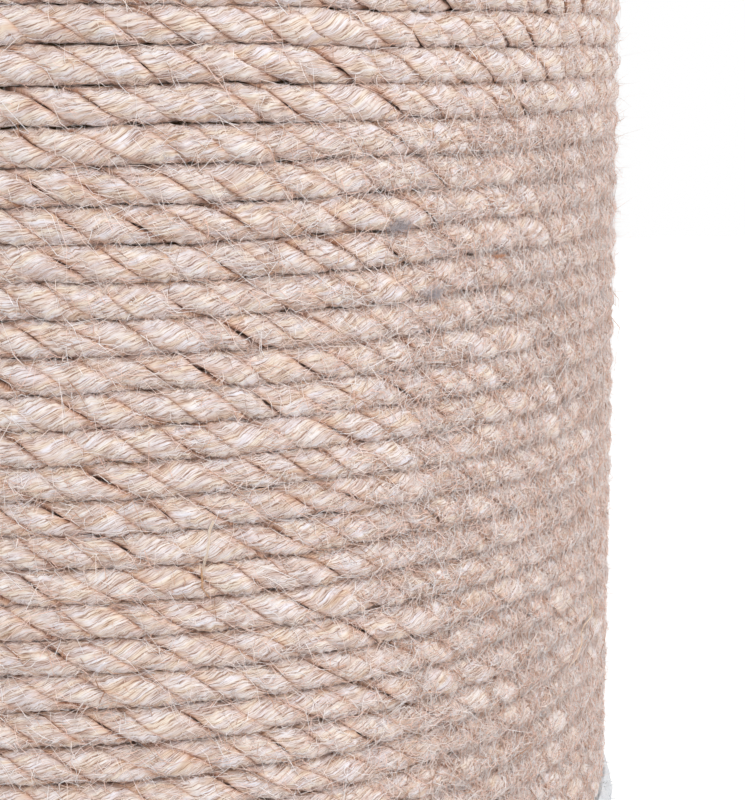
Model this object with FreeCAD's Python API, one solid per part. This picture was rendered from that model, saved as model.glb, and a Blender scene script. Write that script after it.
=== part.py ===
"""Free-standing cat scratching column: a very thick rope-wound post with plush trim and a plush foot.

Millimetres, +Z up. The origin is on the floor, under the middle of the post.
The front faces -Y. The rope climbs to the right as seen from the front.
"""

import FreeCAD
import Part

import math
import os

Vector = FreeCAD.Vector
UP = Vector(0, 0, 1)
DOWN = Vector(0, 0, -1)
CENTRE = Vector(0, 0, 0)

# Gaps shared by all pieces
seat_gap = 0.3  # between soft or curved faces that lie against each other
hole_gap = 0.1  # all round a nail, screw or nut in its hole
plug_gap = 0.2  # all round a plug in the tube
bolt_hole_gap = 0.5  # all round a bolt in its hole
cut_overrun = 2.0  # how far a cutting solid runs past the face that it cuts
pick_gap = 0.01  # how near a height an edge has to be to be picked by it

# Foot of the column: a square board in a plush cover
base_width = 400.0
base_corner_radius = 40.0
base_board_thickness = 25.0
cover_thickness = 4.0
cover_edge_radius = 10.0
hem_width = 30.0
hem_thickness = 1.2
lining_inset = 12.0
lining_thickness = 0.8

# Rubber feet and their screws
foot_diameter = 30.0
foot_height = 6.0
foot_edge_radius = 1.5
foot_inset = 45.0
foot_recess_diameter = 9.0
foot_recess_depth = 3.2
foot_screw_diameter = 3.5
foot_screw_length = 18.0
foot_screw_head_diameter = 7.5
foot_screw_head_height = 2.2
foot_screw_dome_radius = 0.7

# Staples: one wire size for the foot and the top
staple_crown = 10.0
staple_leg = 9.0
staple_wire_width = 1.2
staple_wire_thickness = 0.6
staples_per_side = 7
staples_round_top = 20

# Cardboard tube with a board plug glued and nailed into each end
tube_diameter = 206.0
tube_wall = 6.0
plug_thickness = 18.0
nail_count = 8
nail_diameter = 2.0
nail_length = 22.0
nail_head_diameter = 4.5
nail_head_height = 0.9

# Bolts that hold the post on the foot
bolt_count = 4
bolt_circle = 120.0
bolt_diameter = 8.0
bolt_length = 40.0
bolt_head_across_flats = 13.0
bolt_head_height = 5.3
washer_diameter = 24.0
washer_thickness = 2.0
bolt_recess_diameter = 28.0
bolt_recess_depth = 9.0
nut_barrel_diameter = 10.0
nut_barrel_length = 9.0
nut_flange_diameter = 22.0
nut_flange_thickness = 1.5
nut_prong_count = 4
nut_prong_circle = 17.0
nut_prong_width = 3.0
nut_prong_thickness = 1.2
nut_prong_length = 6.0

# Plush sleeves on the tube, below and above the rope
sleeve_thickness = 8.4
lower_sleeve_height = 114.0
upper_sleeve_height = 46.0
sleeve_round_height = 12.0
sleeve_round_depth = 3.8
sleeve_butt_radius = 2.0

# Rope: two lengths wound one above the other, their ends tucked into the tube
rope_diameter = 5.5
rope_pitch = 6.0
loops_per_length = 24
spans_per_turn = 2
points_per_turn = 600
rope_bend_radius = 6.0
rope_join_gap = 13.0
rope_hole_gap = 0.5

# Padded top
top_overhang = 22.0
top_board_thickness = 18.0
foam_edge_height = 12.0
foam_crown_height = 22.0
foam_shoulder = 5.0
foam_bulge = 1.5
top_bulge = 2.0
top_draw_in = 2.0
top_hem_width = 10.0
top_screw_count = 4
top_screw_circle = 140.0
top_screw_diameter = 5.0
top_screw_length = 34.0
top_screw_head_diameter = 9.5
top_screw_head_height = 2.8
screw_slot_width = 1.2
screw_slot_depth = 1.4

# Heights and widths that follow from the sizes above
top_board_diameter = tube_diameter + 2 * top_overhang
lining_bottom = foot_height
hem_bottom = lining_bottom + lining_thickness
board_bottom = hem_bottom + hem_thickness
board_top = board_bottom + base_board_thickness
base_cover_top = board_top + cover_thickness
lower_sleeve_top = base_cover_top + lower_sleeve_height
rope_radius = rope_diameter / 2
winding_radius = tube_diameter / 2 + seat_gap + rope_radius
first_turn = lower_sleeve_top + seat_gap + rope_radius
winding_rise = loops_per_length * rope_pitch
last_turn = first_turn + 2 * winding_rise
upper_sleeve_bottom = last_turn + rope_radius + seat_gap
top_hem_bottom = upper_sleeve_bottom + upper_sleeve_height
top_board_bottom = top_hem_bottom + hem_thickness
top_board_top = top_board_bottom + top_board_thickness
tube_length = top_board_bottom - board_top

parts = {}


def rounded_block(width, corner_radius, bottom, top):
    """Upright square block with rounded corners, centred on the post."""
    block = Part.makeBox(width, width, top - bottom, Vector(-width / 2, -width / 2, bottom))
    corners = [edge for edge in block.Edges if abs(edge.tangentAt(edge.FirstParameter).z) > 0.5]
    return block.makeFillet(corner_radius, corners)


def disc(diameter, bottom, top, at=CENTRE):
    return Part.makeCylinder(diameter / 2, top - bottom, Vector(at.x, at.y, bottom), UP)


def edges_at(shape, height):
    """Edges that lie level at this height."""
    return [edge for edge in shape.Edges if abs(edge.CenterOfMass.z - height) < pick_gap]


def ring_places(circle, count, first_share=0.0):
    """Points evenly round a circle on the axis; first_share turns them by a share of a step."""
    places = []
    for i in range(count):
        angle = 2 * math.pi * (i + first_share) / count
        places.append(Vector(circle / 2 * math.cos(angle), circle / 2 * math.sin(angle), 0))
    return places


def turned(outline):
    """Solid of revolution about the post's axis from edges in the XZ plane."""
    return Part.Face(Part.Wire(outline)).revolve(CENTRE, UP, 360)


def line(a, b):
    return Part.LineSegment(a, b).toShape()


def arc(a, middle, b):
    return Part.Arc(a, middle, b).toShape()


def across(r, z):
    """Point of a turned outline: r from the axis at height z."""
    return Vector(r, 0, z)


def hexagon(across_flats, bottom, height, at):
    """Upright hexagonal prism."""
    corner = across_flats / math.sqrt(3)
    points = []
    for i in range(7):
        angle = math.pi * i / 3
        points.append(Vector(at.x + corner * math.cos(angle), at.y + corner * math.sin(angle), bottom))
    return Part.Face(Part.makePolygon(points)).extrude(UP * height)


# Foot screws and feet

foot_places = []
for side_x in (-1, 1):
    for side_y in (-1, 1):
        reach = base_width / 2 - foot_inset
        foot_places.append(Vector(side_x * reach, side_y * reach, 0))

foot_screw_seat = foot_recess_depth
foot_screw_hole = foot_screw_diameter + 2 * hole_gap
feet = []
foot_screws = []
for place in foot_places:
    foot = disc(foot_diameter, 0, foot_height, place)
    foot = foot.makeFillet(foot_edge_radius, edges_at(foot, 0))
    foot = foot.cut(disc(foot_recess_diameter, -cut_overrun, foot_recess_depth, place))
    foot = foot.cut(disc(foot_screw_hole, 0, foot_height + cut_overrun, place))
    feet.append(foot)

    head_bottom = foot_screw_seat - foot_screw_head_height
    head = disc(foot_screw_head_diameter, head_bottom, foot_screw_seat, place)
    head = head.makeFillet(foot_screw_dome_radius, edges_at(head, head_bottom))
    slot_top = head_bottom + screw_slot_depth
    slot_length = foot_screw_head_diameter - 2 * screw_slot_width
    for length_x, length_y in ((slot_length, screw_slot_width), (screw_slot_width, slot_length)):
        corner = Vector(place.x - length_x / 2, place.y - length_y / 2, slot_top - 2 * screw_slot_depth)
        head = head.cut(Part.makeBox(length_x, length_y, 2 * screw_slot_depth, corner))
    shank_top = foot_screw_seat + foot_screw_length - foot_screw_diameter
    shank = disc(foot_screw_diameter, foot_screw_seat, shank_top, place)
    point_base = Vector(place.x, place.y, shank_top)
    point = Part.makeCone(foot_screw_diameter / 2, 0, foot_screw_diameter, point_base, UP)
    foot_screws.append(head.fuse([shank, point]).removeSplitter())

parts["base_feet"] = Part.makeCompound(feet)
parts["foot_screws"] = Part.makeCompound(foot_screws)


# Staples that hold the hem and the lining under the foot's board, and the hem under the top board


def staple(place, direction):
    """Staple driven upwards, its crown along direction with its lower face at place."""
    side = Vector(-direction.y, direction.x, 0)
    frame = FreeCAD.Matrix(
        direction.x, side.x, 0, place.x, direction.y, side.y, 0, place.y, 0, 0, 1, place.z, 0, 0, 0, 1
    )
    back = Vector(-staple_crown / 2, -staple_wire_width / 2, 0)
    crown = Part.makeBox(staple_crown, staple_wire_width, staple_wire_thickness, back)
    legs = []
    for along in (-staple_crown / 2, staple_crown / 2 - staple_wire_thickness):
        foot = Vector(along, -staple_wire_width / 2, staple_wire_thickness)
        legs.append(Part.makeBox(staple_wire_thickness, staple_wire_width, staple_leg, foot))
    whole = crown.fuse(legs).removeSplitter()
    whole.transformShape(frame)
    return whole


base_staples = []
staple_line = base_width / 2 - (lining_inset + hem_width) / 2
straight_side = base_width - 2 * base_corner_radius
staple_step = straight_side / staples_per_side
staple_height = lining_bottom - staple_wire_thickness
for i in range(staples_per_side):
    along = (i + 0.5) * staple_step - straight_side / 2
    for side in (-1, 1):
        base_staples.append(staple(Vector(along, side * staple_line, staple_height), Vector(1, 0, 0)))
        base_staples.append(staple(Vector(side * staple_line, along, staple_height), Vector(0, 1, 0)))
parts["base_staples"] = Part.makeCompound(base_staples)

top_staples = []
top_staple_circle = top_board_diameter - top_hem_width
for place in ring_places(top_staple_circle, staples_round_top):
    direction = Vector(-place.y, place.x, 0).normalize()
    top_staples.append(staple(Vector(place.x, place.y, top_hem_bottom - staple_wire_thickness), direction))
parts["top_staples"] = Part.makeCompound(top_staples)


# Bolts, washers and tee nuts

bolt_places = ring_places(bolt_circle, bolt_count, 0.5)
washer_top = board_bottom + bolt_recess_depth
bolt_seat = washer_top - washer_thickness
plug_top = board_top + plug_thickness

base_bolts = []
base_washers = []
tee_nuts = []
for place in bolt_places:
    head = hexagon(bolt_head_across_flats, bolt_seat - bolt_head_height, bolt_head_height, place)
    shank = disc(bolt_diameter, bolt_seat, bolt_seat + bolt_length, place)
    base_bolts.append(head.fuse(shank).removeSplitter())

    washer = disc(washer_diameter, bolt_seat, washer_top, place)
    base_washers.append(washer.cut(disc(bolt_diameter + bolt_hole_gap, 0, washer_top + cut_overrun, place)))

    flange = disc(nut_flange_diameter, plug_top, plug_top + nut_flange_thickness, place)
    barrel = disc(nut_barrel_diameter, plug_top - nut_barrel_length, plug_top, place)
    prongs = []
    for step in ring_places(nut_prong_circle, nut_prong_count):
        wide = abs(step.x) < abs(step.y)
        size_x = nut_prong_width if wide else nut_prong_thickness
        size_y = nut_prong_thickness if wide else nut_prong_width
        middle = place + step
        corner = Vector(middle.x - size_x / 2, middle.y - size_y / 2, plug_top - nut_prong_length)
        prongs.append(Part.makeBox(size_x, size_y, nut_prong_length, corner))
    nut = flange.fuse([barrel] + prongs).removeSplitter()
    bore = disc(bolt_diameter + 2 * hole_gap, 0, plug_top + nut_flange_thickness + cut_overrun, place)
    tee_nuts.append(nut.cut(bore))

parts["base_bolts"] = Part.makeCompound(base_bolts)
parts["base_washers"] = Part.makeCompound(base_washers)
parts["tee_nuts"] = Part.makeCompound(tee_nuts)


# Board and cover of the foot

base_board = rounded_block(base_width, base_corner_radius, board_bottom, board_top)
foot_hole_top = foot_screw_seat + foot_screw_length + hole_gap
board_cuts = [disc(foot_screw_hole, 0, foot_hole_top, place) for place in foot_places]
for place in bolt_places:
    board_cuts.append(disc(bolt_recess_diameter, 0, washer_top, place))
    board_cuts.append(disc(bolt_diameter + 2 * bolt_hole_gap, 0, board_top + cut_overrun, place))
parts["base_board"] = base_board.cut(board_cuts + base_staples)

outer_width = base_width + 2 * cover_thickness
outer = rounded_block(outer_width, base_corner_radius + cover_thickness, hem_bottom, base_cover_top)
outer = outer.makeFillet(cover_edge_radius, edges_at(outer, base_cover_top))
board_space = rounded_block(
    base_width + 2 * seat_gap, base_corner_radius + seat_gap, board_bottom, board_top + seat_gap
)
hem_opening = rounded_block(
    base_width - 2 * hem_width, base_corner_radius - hem_width, hem_bottom - cut_overrun, board_bottom
)
post_opening = disc(tube_diameter + 2 * seat_gap, board_bottom, base_cover_top + cut_overrun)
parts["base_cover"] = outer.cut([board_space, hem_opening, post_opening] + base_staples)

lining = rounded_block(
    base_width - 2 * lining_inset, base_corner_radius - lining_inset, lining_bottom, hem_bottom
)
lining_cuts = [disc(foot_screw_hole, 0, hem_bottom + cut_overrun, place) for place in foot_places]
lining_cuts += [disc(bolt_recess_diameter, 0, hem_bottom + cut_overrun, place) for place in bolt_places]
parts["base_lining"] = lining.cut(lining_cuts + base_staples)


# Plugs in the tube's ends, and their nails


def radial_nails(height):
    """Nails driven through the tube's wall towards the axis, heads flush with the tube."""
    nails = []
    for place in ring_places(tube_diameter, nail_count, 0.5):
        inwards = (place * -1).normalize()
        start = Vector(place.x, place.y, height) + inwards * seat_gap
        head = Part.makeCylinder(nail_head_diameter / 2, nail_head_height, start, inwards)
        shank = Part.makeCylinder(nail_diameter / 2, nail_length - nail_diameter, start, inwards)
        tip = Part.makeCone(
            nail_diameter / 2, 0, nail_diameter, start + inwards * (nail_length - nail_diameter), inwards
        )
        nails.append(head.fuse([shank, tip]).removeSplitter())
    return nails


def nail_holes(height):
    """What the nails need cleared in the tube and the plug."""
    holes = []
    for place in ring_places(tube_diameter, nail_count, 0.5):
        inwards = (place * -1).normalize()
        outside = Vector(place.x, place.y, height) - inwards * cut_overrun
        recess = nail_head_height + seat_gap + cut_overrun
        holes.append(Part.makeCylinder(nail_head_diameter / 2 + hole_gap, recess, outside, inwards))
        depth = nail_length + seat_gap + hole_gap + cut_overrun
        holes.append(Part.makeCylinder(nail_diameter / 2 + hole_gap, depth, outside, inwards))
    return holes


plug_diameter = tube_diameter - 2 * tube_wall - 2 * plug_gap
lower_nail_height = board_top + plug_thickness / 2
upper_nail_height = top_board_bottom - plug_thickness / 2

nut_hole = nut_barrel_diameter + 2 * hole_gap
nut_hole_bottom = plug_top - nut_barrel_length - hole_gap
lower_plug_cuts = nail_holes(lower_nail_height)
for place in bolt_places:
    lower_plug_cuts.append(disc(bolt_diameter + 2 * bolt_hole_gap, 0, plug_top + cut_overrun, place))
    lower_plug_cuts.append(disc(nut_hole, nut_hole_bottom, plug_top + cut_overrun, place))
parts["lower_plug"] = disc(plug_diameter, board_top, plug_top).cut(lower_plug_cuts + tee_nuts)
parts["lower_plug_nails"] = Part.makeCompound(radial_nails(lower_nail_height))
parts["upper_plug_nails"] = Part.makeCompound(radial_nails(upper_nail_height))


# Screws that hold the top board, driven down into the upper plug

top_screws = []
screw_holes = []
for place in ring_places(top_screw_circle, top_screw_count):
    head_bottom = top_board_top - top_screw_head_height
    seat = Vector(place.x, place.y, head_bottom)
    head = Part.makeCone(
        top_screw_diameter / 2, top_screw_head_diameter / 2, top_screw_head_height, seat, UP
    )
    for length_x, length_y in (
        (top_screw_diameter, screw_slot_width),
        (screw_slot_width, top_screw_diameter),
    ):
        corner = Vector(place.x - length_x / 2, place.y - length_y / 2, top_board_top - screw_slot_depth)
        head = head.cut(Part.makeBox(length_x, length_y, screw_slot_depth + cut_overrun, corner))
    shank_length = top_screw_length - top_screw_head_height - top_screw_diameter
    shank = Part.makeCylinder(top_screw_diameter / 2, shank_length, seat, DOWN)
    tip_start = Vector(place.x, place.y, head_bottom - shank_length)
    tip = Part.makeCone(top_screw_diameter / 2, 0, top_screw_diameter, tip_start, DOWN)
    top_screws.append(head.fuse([shank, tip]).removeSplitter())

    hole_radius = top_screw_diameter / 2 + hole_gap
    bottom = top_board_top - top_screw_length - hole_gap
    screw_holes.append(disc(2 * hole_radius, bottom, top_board_top + cut_overrun, place))
    sink_bottom = Vector(place.x, place.y, head_bottom)
    screw_holes.append(
        Part.makeCone(
            hole_radius, top_screw_head_diameter / 2 + hole_gap, top_screw_head_height, sink_bottom, UP
        )
    )
parts["top_screws"] = Part.makeCompound(top_screws)

upper_plug = disc(plug_diameter, top_board_bottom - plug_thickness, top_board_bottom)
parts["upper_plug"] = upper_plug.cut(nail_holes(upper_nail_height) + screw_holes)

top_board = disc(top_board_diameter, top_board_bottom, top_board_top)
parts["top_board"] = top_board.cut(screw_holes + top_staples)


# Foam pad and plush cover of the top

top_radius = top_board_diameter / 2
foam_edge = top_board_top + foam_edge_height
foam_crown = top_board_top + foam_crown_height


def crowned(bottom_r, widest_r, shoulder_r, bottom, edge, crown):
    """Turned cushion: drawn in at the bottom, widest half way up its side, and domed on top."""
    rise = crown - edge
    dome_radius = (shoulder_r * shoulder_r + rise * rise) / (2 * rise)
    half_angle = math.asin(shoulder_r / dome_radius) / 2
    dome_middle = across(
        dome_radius * math.sin(half_angle), crown - dome_radius * (1 - math.cos(half_angle))
    )
    return turned(
        [
            line(across(0, bottom), across(bottom_r, bottom)),
            arc(across(bottom_r, bottom), across(widest_r, (bottom + edge) / 2), across(shoulder_r, edge)),
            arc(across(shoulder_r, edge), dome_middle, across(0, crown)),
            line(across(0, crown), across(0, bottom)),
        ]
    )


def foam(grow):
    """The pad under the cover, or with grow the room that it needs."""
    return crowned(
        top_radius - foam_bulge + grow,
        top_radius + grow,
        top_radius - foam_shoulder + grow,
        top_board_top,
        foam_edge + grow,
        foam_crown + grow,
    )


parts["top_foam"] = foam(0)

cover_radius = top_radius + cover_thickness
cover_outside = crowned(
    cover_radius - top_draw_in,
    cover_radius + top_bulge,
    cover_radius - foam_shoulder,
    top_hem_bottom,
    foam_edge + cover_thickness,
    foam_crown + cover_thickness,
)
board_room = disc(top_board_diameter + 2 * seat_gap, top_board_bottom, top_board_top + seat_gap)
hem_room = disc(
    top_board_diameter - 2 * top_hem_width, top_hem_bottom - cut_overrun, top_board_bottom
)
parts["top_cover"] = cover_outside.cut([board_room, foam(seat_gap), hem_room] + top_staples)


# Plush sleeves

tube_radius = tube_diameter / 2
sleeve_bore = tube_radius + seat_gap
sleeve_outside = tube_radius + sleeve_thickness


def sleeve(butt, rope_end):
    """Turned sleeve from its square end, butt, to its soft rounded end beside the rope."""
    up = 1 if rope_end > butt else -1
    round_start = rope_end - up * sleeve_round_height
    lip = sleeve_outside - sleeve_round_depth
    swell_radius = (sleeve_round_depth**2 + sleeve_round_height**2) / (2 * sleeve_round_depth)
    half_angle = math.asin(sleeve_round_height / swell_radius) / 2
    rounding = across(
        sleeve_outside - swell_radius * (1 - math.cos(half_angle)),
        round_start + up * swell_radius * math.sin(half_angle),
    )
    butt_inset = sleeve_butt_radius * (1 - math.sqrt(0.5))
    butt_turn = across(sleeve_outside - butt_inset, butt + up * butt_inset)
    return turned(
        [
            line(across(sleeve_bore, butt), across(sleeve_outside - sleeve_butt_radius, butt)),
            arc(
                across(sleeve_outside - sleeve_butt_radius, butt),
                butt_turn,
                across(sleeve_outside, butt + up * sleeve_butt_radius),
            ),
            line(across(sleeve_outside, butt + up * sleeve_butt_radius), across(sleeve_outside, round_start)),
            arc(across(sleeve_outside, round_start), rounding, across(lip, rope_end)),
            line(across(lip, rope_end), across(sleeve_bore, rope_end)),
            line(across(sleeve_bore, rope_end), across(sleeve_bore, butt)),
        ]
    )


parts["lower_sleeve"] = sleeve(base_cover_top, lower_sleeve_top)
parts["upper_sleeve"] = sleeve(top_board_bottom - seat_gap, upper_sleeve_bottom)


# Rope

TURN = 2 * math.pi


def wound(turn):
    """Point of the rope's centre line after this many turns from the first tuck, at the back."""
    angle = TURN * turn
    return Vector(
        -winding_radius * math.sin(angle), winding_radius * math.cos(angle), first_turn + rope_pitch * turn
    )


def heading(turn):
    angle = TURN * turn
    return Vector(
        -winding_radius * math.cos(angle), -winding_radius * math.sin(angle), rope_pitch / TURN
    ).normalize()


def inward(turn):
    angle = TURN * turn
    return Vector(math.sin(angle), -math.cos(angle), 0)


def arc_from(start, direction, end):
    """Arc that leaves start along direction and stops at end, with its radius."""
    chord = end - start
    towards_centre = (chord - direction * chord.dot(direction)).normalize()
    radius = chord.dot(chord) / (2 * chord.dot(towards_centre))
    centre = start + towards_centre * radius
    middle = centre + ((start + end) * 0.5 - centre).normalize() * radius
    return start, middle, end, radius


def biarc(start, start_heading, end, end_heading):
    """Two arcs that join with one tangent."""
    chord = end - start
    both = start_heading + end_heading
    spread = 2 * (1 - start_heading.dot(end_heading))
    along = chord.dot(both)
    reach = (math.sqrt(along * along + spread * chord.dot(chord)) - along) / spread
    joint = (start + end + (start_heading - end_heading) * reach) * 0.5
    first = arc_from(start, start_heading, joint)
    second = arc_from(end, end_heading * -1, joint)
    return [arc(*first[:3]), arc(joint, second[1], end)], [first[3], second[3]]


def tuck(turn, leaving):
    """Straight end through the tube's wall and the bend that joins it to the turns."""
    on_coil = wound(turn)
    ahead = heading(turn) * (1 if leaving else -1)
    centre = on_coil + inward(turn) * rope_bend_radius
    bend_end = centre - ahead * rope_bend_radius
    middle = centre + (inward(turn) * -1 - ahead).normalize() * rope_bend_radius
    tip = bend_end + inward(turn) * rope_diameter
    return on_coil, middle, bend_end, tip


def wind(first, last):
    """One unbroken length of rope from turn first to turn last, with both ends tucked in."""
    on_coil, middle, bend_end, tip = tuck(first, True)
    path = [line(tip, bend_end), arc(bend_end, middle, on_coil)]
    radii = [rope_bend_radius]
    start_point = tip
    start_heading = inward(first) * -1
    count = round((last - first) * spans_per_turn)
    step = (last - first) / count
    for i in range(count):
        a = first + i * step
        b = a + step
        edges, bends = biarc(wound(a), heading(a), wound(b), heading(b))
        path += edges
        radii += bends
    on_coil, middle, bend_end, tip = tuck(last, False)
    path += [arc(on_coil, middle, bend_end), line(bend_end, tip)]
    spine = Part.Wire(path)
    section = Part.Wire(Part.makeCircle(rope_radius, start_point, start_heading))
    solid = spine.makePipeShell([section], True, False)
    return solid, spine, radii


def least_gap(spine, turns):
    """Least gap between neighbouring turns, from points along the centre line."""
    points = spine.discretize(Number=int(points_per_turn * turns))
    half_turn = points_per_turn // 2
    stride = points_per_turn // 60
    least = float("inf")
    for i in range(0, len(points), stride):
        for other in points[i + half_turn : i + 3 * half_turn]:
            least = min(least, points[i].distanceToPoint(other))
    return least - rope_diameter


join_share = rope_join_gap / (TURN * winding_radius)
lengths = {
    "rope_lower_winding": (0.0, loops_per_length - join_share),
    "rope_upper_winding": (float(loops_per_length), 2.0 * loops_per_length),
}
for name, (first, last) in lengths.items():
    solid, spine, radii = wind(first, last)
    parts[name] = solid
    drawn = math.pi * rope_radius**2 * spine.Length
    print(
        name,
        "length %.0f mm" % spine.Length,
        "volume over section times length %.5f" % (solid.Volume / drawn),
        "tightest bend %.1f mm" % min(radii),
        "least gap %.2f mm" % least_gap(spine, last - first),
    )


# Tube, with a slot for each tucked rope end


def tuck_slot(turn, leaving):
    """Room in the tube's wall for a tucked end and its bend."""
    on_coil, middle, bend_end, tip = tuck(turn, leaving)
    into = inward(turn)
    ahead = heading(turn) * (1 if leaving else -1)
    level = Vector(ahead.x, ahead.y, 0).normalize()
    side = into.cross(level)
    radius = rope_radius + rope_hole_gap
    mouth = bend_end - into * (rope_bend_radius + cut_overrun)
    far = mouth + level * rope_bend_radius
    outline = [
        line(mouth + side * radius, far + side * radius),
        arc(far + side * radius, far + level * radius, far - side * radius),
        line(far - side * radius, mouth - side * radius),
        arc(mouth - side * radius, mouth - level * radius, mouth + side * radius),
    ]
    depth = rope_bend_radius + tube_wall + rope_diameter + 2 * cut_overrun
    return Part.Face(Part.Wire(outline)).extrude(into * depth)


tube = disc(tube_diameter, board_top, top_board_bottom)
tube_cuts = [disc(tube_diameter - 2 * tube_wall, 0, top_board_bottom + cut_overrun)]
tube_cuts += nail_holes(lower_nail_height) + nail_holes(upper_nail_height)
for first, last in lengths.values():
    tube_cuts += [tuck_slot(first, True), tuck_slot(last, False)]
parts["post_tube"] = tube.cut(tube_cuts)


os.makedirs("parts", exist_ok=True)
for name, shape in parts.items():
    shape.exportStep("parts/" + name + ".step")
    count = len(shape.Solids)
    print("%-20s %2d solids, valid %s, %.0f mm3" % (name, count, shape.isValid(), shape.Volume))
box = Part.makeCompound(list(parts.values())).BoundBox
print("whole %.1f x %.1f x %.1f, z from %.2f" % (box.XLength, box.YLength, box.ZLength, box.ZMin))
print("rope starts at z %.2f, lower sleeve ends at z %.2f" % (first_turn, lower_sleeve_top))
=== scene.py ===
"""Rope-wound cat scratching column with plush trim and a plush foot, dressed for its picture.

Metres, +Z up. The origin is on the floor, under the middle of the post, and the front faces -Y.
"""

import math

import bpy
import numpy as np
from mathutils import Euler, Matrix, Vector, geometry, noise


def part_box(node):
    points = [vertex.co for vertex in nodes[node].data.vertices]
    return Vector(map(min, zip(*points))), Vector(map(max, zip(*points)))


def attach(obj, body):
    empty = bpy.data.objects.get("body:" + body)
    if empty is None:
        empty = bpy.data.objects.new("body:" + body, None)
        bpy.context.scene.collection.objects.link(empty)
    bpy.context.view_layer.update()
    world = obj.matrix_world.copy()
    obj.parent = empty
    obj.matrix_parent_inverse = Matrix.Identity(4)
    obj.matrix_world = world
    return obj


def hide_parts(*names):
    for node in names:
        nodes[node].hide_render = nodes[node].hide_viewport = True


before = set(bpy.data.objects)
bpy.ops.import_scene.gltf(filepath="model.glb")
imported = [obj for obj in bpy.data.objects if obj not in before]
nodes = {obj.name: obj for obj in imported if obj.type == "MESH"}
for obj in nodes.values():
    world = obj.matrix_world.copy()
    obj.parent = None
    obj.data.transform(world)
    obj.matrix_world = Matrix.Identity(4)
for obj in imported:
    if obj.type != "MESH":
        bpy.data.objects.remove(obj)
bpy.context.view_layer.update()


# Foot board
#
# A square of sawn particleboard with rounded corners, drilled for the foot screws and recessed for the bolts.
# It shows only inside the bolt recesses, because its cover and lining hide the rest.

MM = 0.001


def srgb(red, green, blue):
    """Linear colour with alpha from the three 0 to 255 values that a paint chart gives."""
    linear = []
    for value in (red, green, blue):
        share = value / 255
        linear.append(share / 12.92 if share <= 0.04045 else ((share + 0.055) / 1.055) ** 2.4)
    return (*linear, 1.0)


def set_values(node, values):
    """Sets a node's sockets and settings by name, with _ for the spaces in a socket's name."""
    for key, value in values.items():
        socket = key.replace("_", " ")
        if socket in node.inputs:
            node.inputs[socket].default_value = value
        else:
            setattr(node, key, value)


class NodeTree:
    """Short ways to add nodes to one tree and to join them."""

    def __init__(self, tree):
        self.tree = tree

    def add(self, kind, **values):
        node = self.tree.nodes.new("ShaderNode" + kind)
        set_values(node, values)
        return node

    def join(self, source, output, target, entry):
        self.tree.links.new(source.outputs[output], target.inputs[entry])
        return target

    def drawn_out(self, source, output, stretch, kind, **values):
        """Texture laid out by a node's places, drawn out by these factors."""
        scaled = self.add("VectorMath", operation="MULTIPLY")
        scaled.inputs[1].default_value = stretch
        self.join(source, output, scaled, 0)
        return self.join(scaled, "Vector", self.add("Tex" + kind, **values), "Vector")

    def pattern(self, kind, stretch=(1, 1, 1), **values):
        """Texture laid out in the object's own metres."""
        return self.drawn_out(self.add("TexCoord"), "Object", stretch, kind, **values)

    def ramp(self, source, output, stops):
        """Colour ramp through (place, colour) stops, led by a node's value."""
        ramp = self.add("ValToRGB")
        elements = ramp.color_ramp.elements
        elements[0].position, elements[0].color = stops[0]
        elements[1].position, elements[1].color = stops[-1]
        for place, colour in stops[1:-1]:
            elements.new(place).color = colour
        return self.join(source, output, ramp, 0)

    def shades(self, source, output, *stops):
        """The same through stops of a place and a paint chart's red, green and blue."""
        return self.ramp(source, output, [(place, srgb(*colour)) for place, *colour in stops])

    def colour_output(self, node):
        return 2 if node.bl_idname == "ShaderNodeMix" else 0

    def multiply(self, share, first, second):
        """Tints the first node's colour with the second's by this share."""
        mix = self.add("Mix", data_type="RGBA", blend_type="MULTIPLY")
        mix.inputs[0].default_value = share
        self.join(first, self.colour_output(first), mix, 6)
        return self.join(second, self.colour_output(second), mix, 7)

    def blend(self, first, factor, second, output=0):
        """The first node's value times a factor, plus the second's."""
        total = self.add("Math", operation="MULTIPLY_ADD")
        total.inputs[1].default_value = factor
        self.join(first, 0, total, 0)
        return self.join(second, output, total, 2)


class Finish(NodeTree):
    """New material whose Principled shader has these values."""

    def __init__(self, name, **values):
        self.material = bpy.data.materials.new(name)
        self.material.use_nodes = True
        super().__init__(self.material.node_tree)
        self.surface = self.tree.nodes["Principled BSDF"]
        set_values(self.surface, values)

    def colour(self, node):
        self.join(node, self.colour_output(node), self.surface, "Base Color")

    def relief(self, height, output, depth, strength):
        """Relief of this depth from a node's value."""
        bump = self.add("Bump", Strength=strength, Distance=depth)
        self.join(height, output, bump, "Height")
        self.join(bump, 0, self.surface, "Normal")

    def grain(self, pattern, output, depth, strength, *stops):
        """Gives the surface its shades and its relief from one pattern, and returns the material."""
        self.colour(self.shades(pattern, output, *stops))
        self.relief(pattern, output, depth, strength)
        return self.material


def dress(material, *names):
    """Gives this material to pieces of the frame that show as they are."""
    for name in names:
        for material_slot in nodes[name].material_slots:
            material_slot.material = material


def particleboard_material():
    """Pressed wood chips, each its own shade of pine, with glue between them."""
    board = Finish("particleboard", Roughness=0.75)
    chips = board.pattern("Voronoi", Scale=420.0, Randomness=1.0)
    pine = ((0.1, 176, 138, 94), (0.45, 205, 170, 124), (0.7, 222, 192, 148), (0.95, 240, 218, 180))
    chip_colour = board.shades(chips, "Color", *pine)
    dust = board.pattern("Noise", Scale=1500.0, Detail=3.0)
    dust_colour = board.shades(dust, 0, (0.35, 206, 186, 160), (0.6, 255, 252, 246))
    board.colour(board.multiply(0.7, chip_colour, dust_colour))
    board.relief(chips, "Distance", 0.3 * MM, 0.6)
    return board.material


dress(particleboard_material(), "base_board", "top_board", "lower_plug", "upper_plug")


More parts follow.
